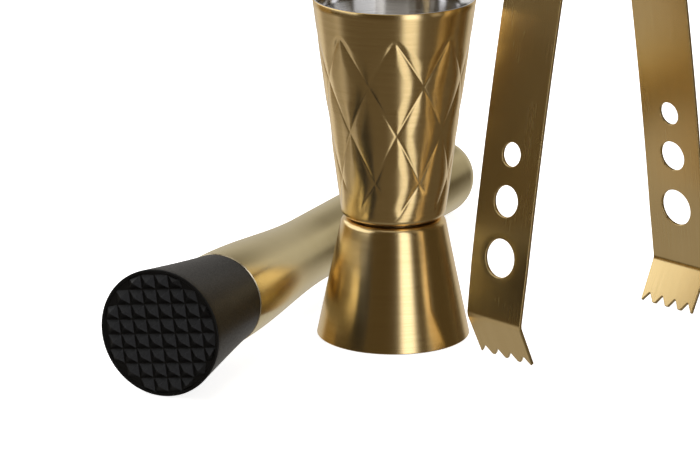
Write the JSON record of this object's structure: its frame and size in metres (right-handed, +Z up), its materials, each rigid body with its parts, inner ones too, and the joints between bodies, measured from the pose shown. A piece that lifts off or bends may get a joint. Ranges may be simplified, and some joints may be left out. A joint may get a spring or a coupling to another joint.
{
  "type": "cocktail tool set",
  "caption": "Brass-coloured bar tools: a double jigger with diamond relief, a muddler with a studded black head, and toothed ice tongs.",
  "frame": {"origin": "middle of the set's footprint, on the surface that the tools stand on", "axes": "+Z up; X runs along the spread of the ice tongs' arms, towards the arm further from the jigger"},
  "size_m": [0.1924, 0.1343, 0.1548],
  "materials": {
    "brushed_brass": "brass-coloured coating on brushed stainless steel",
    "plain_steel": "bare stainless steel",
    "black_nylon": "matte moulded nylon",
    "seal_rubber": "soft black rubber"
  },
  "bodies": {
    "jigger": {"jigger_large_cup": "brushed_brass", "jigger_small_cup": "brushed_brass", "jigger_joint_disc": "plain_steel"},
    "muddler": {"muddler_handle": "brushed_brass", "muddler_end_cap": "brushed_brass", "muddler_collar": "plain_steel"},
    "muddler_seal_ring": {"muddler_seal": "seal_rubber"},
    "muddler_end": {"muddler_head": "black_nylon"},
    "tongs": {"tongs_bow": "brushed_brass"},
    "front_arm": {"tongs_front_arm": "brushed_brass"},
    "rear_arm": {"tongs_rear_arm": "brushed_brass"}
  },
  "joints": [
    {"name": "muddler_lift", "type": "slide", "parent": "jigger", "child": "muddler", "axis": [0, 0, 1], "range_m": [0, 0.12]},
    {"name": "head_turn", "type": "hinge", "parent": "muddler", "child": "muddler_seal_ring", "pos_m": [-0.05606, -0.00198, 0.016], "axis": [-0.9255, -0.3777, 0.029], "range_deg": [0, 1440]},
    {"name": "head_unscrew", "type": "slide", "parent": "muddler_seal_ring", "child": "muddler_end", "axis": [-0.9255, -0.3777, 0.029], "range_m": [0, 0.0161]},
    {"name": "tongs_lift", "type": "slide", "parent": "jigger", "child": "tongs", "axis": [0, 0, 1], "range_m": [0, 0.12]},
    {"name": "front_arm_squeeze", "type": "hinge", "parent": "tongs", "child": "front_arm", "pos_m": [0.02125, -0.05727, 0.15132], "axis": [0, -1, 0], "range_deg": [-2, 11.5], "stiffness_Nm_per_rad": 2},
    {"name": "rear_arm_squeeze", "type": "hinge", "parent": "tongs", "child": "rear_arm", "pos_m": [0.03947, -0.05727, 0.15132], "axis": [0, 1, 0], "range_deg": [-2, 11.5], "stiffness_Nm_per_rad": 2}
  ],
  "couplings": [
    {"joint": "head_unscrew", "follows": "head_turn", "m_per_rad": 0.00063662},
    {"joint": "rear_arm_squeeze", "follows": "front_arm_squeeze", "ratio": 1}
  ]
}
